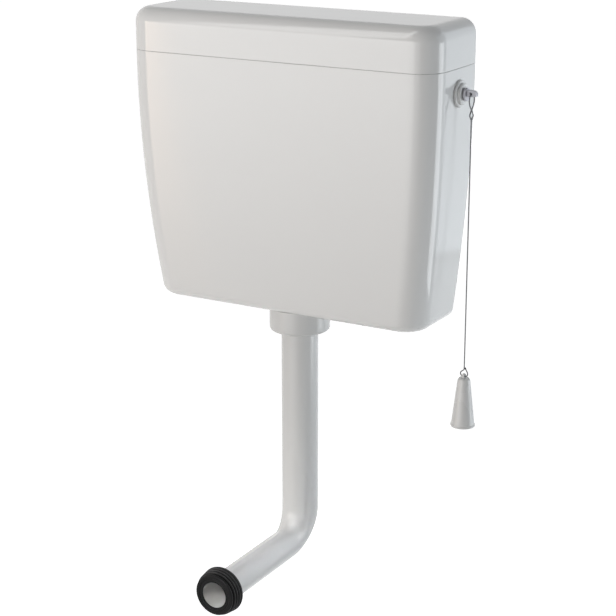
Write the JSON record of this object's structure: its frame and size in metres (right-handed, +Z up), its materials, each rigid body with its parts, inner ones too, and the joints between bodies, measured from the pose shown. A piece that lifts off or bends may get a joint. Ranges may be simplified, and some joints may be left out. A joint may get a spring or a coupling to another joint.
{
  "type": "toilet cistern",
  "caption": "Wall-hung toilet cistern: drawn-in moulded tank with a lift-off lid, side lever with pull cord and handle, flush and fill valves inside, flush bend with finned pan seal.",
  "frame": {"origin": "midway between the two wall-fixing holes, on the flat back that lies on the wall", "axes": "+Z up, +Y into the wall, so the front faces -Y; +X towards the side with the lever and the pull cord"},
  "size_m": [0.5069, 0.277, 0.756],
  "materials": {
    "shell_plastic": "glossy white moulding",
    "pipe_plastic": "satin white pipe plastic",
    "bush_plastic": "glossy white moulding",
    "lever_plastic": "satin pale grey moulding",
    "cord_fibre": "thin braided grey cord",
    "handle_plastic": "satin white moulding",
    "seal_rubber": "matt black moulded rubber",
    "washer_rubber": "matt dark rubber",
    "valve_plastic": "satin white moulding",
    "link_plastic": "satin pale moulding",
    "float_plastic": "satin translucent white moulding",
    "strainer_plastic": "matt moulding",
    "pin_steel": "drawn stainless steel",
    "stem_brass": "rolled thread brass"
  },
  "bodies": {
    "cistern": {"tank": "shell_plastic", "lever_bush": "bush_plastic", "bush_nut": "bush_plastic", "lever_pin": "pin_steel", "valve_seat": "valve_plastic", "outlet_washer": "washer_rubber", "outlet_back_nut": "valve_plastic", "coupling_nut": "pipe_plastic", "pipe_washer": "washer_rubber", "flush_pipe": "pipe_plastic", "pan_seal": "seal_rubber", "valve_cage": "valve_plastic", "fill_body": "valve_plastic", "inlet_washer": "washer_rubber", "inlet_nut": "valve_plastic", "inlet_strainer": "strainer_plastic", "valve_cap": "valve_plastic", "quiet_tube": "float_plastic", "float_pin": "pin_steel"},
    "lid": {"lid": "shell_plastic"},
    "lever": {"pull_lever": "lever_plastic"},
    "loop": {"cord_loop": "cord_fibre"},
    "pull": {"pull_cord": "cord_fibre", "pull_handle": "handle_plastic"},
    "flush_valve": {"overflow_tube": "valve_plastic", "valve_seal": "washer_rubber", "seal_retainer": "valve_plastic", "valve_float": "float_plastic", "float_clip": "valve_plastic", "lift_link": "link_plastic"},
    "float": {"float_arm": "link_plastic", "float": "float_plastic", "float_stem": "stem_brass", "stem_nuts": "link_plastic"},
    "piston": {"valve_piston": "link_plastic", "piston_washer": "washer_rubber"}
  },
  "joints": [
    {"name": "lid_lift", "type": "slide", "parent": "cistern", "child": "lid", "axis": [0, 0, 1], "range_m": [0, 0.15]},
    {"name": "lever_rock", "type": "hinge", "parent": "cistern", "child": "lever", "pos_m": [0.20019, -0.0495, 0.0135], "axis": [0, 1, 0], "range_deg": [0, 8]},
    {"name": "loop_hang", "type": "hinge", "parent": "lever", "child": "loop", "pos_m": [0.24199, -0.0495, 0.0149], "axis": [0, 1, 0], "range_deg": [-8, 0]},
    {"name": "cord_swing", "type": "hinge", "parent": "loop", "child": "pull", "pos_m": [0.24199, -0.0495, -0.0161], "axis": [1, 0, 0], "range_deg": [-25, 5]},
    {"name": "valve_lift", "type": "slide", "parent": "cistern", "child": "flush_valve", "axis": [0, 0, 1], "range_m": [0, 0.028]},
    {"name": "float_swing", "type": "hinge", "parent": "cistern", "child": "float", "pos_m": [-0.16473, -0.0545, -0.018], "axis": [0, 1, 0], "range_deg": [-25, 0]},
    {"name": "piston_slide", "type": "slide", "parent": "cistern", "child": "piston", "axis": [1, 0, 0], "range_m": [-0.0048, 0]}
  ],
  "couplings": [
    {"joint": "loop_hang", "follows": "lever_rock", "ratio": -1},
    {"joint": "valve_lift", "follows": "lever_rock", "m_per_rad": 0.20019},
    {"joint": "piston_slide", "follows": "float_swing", "m_per_rad": 0.011}
  ]
}
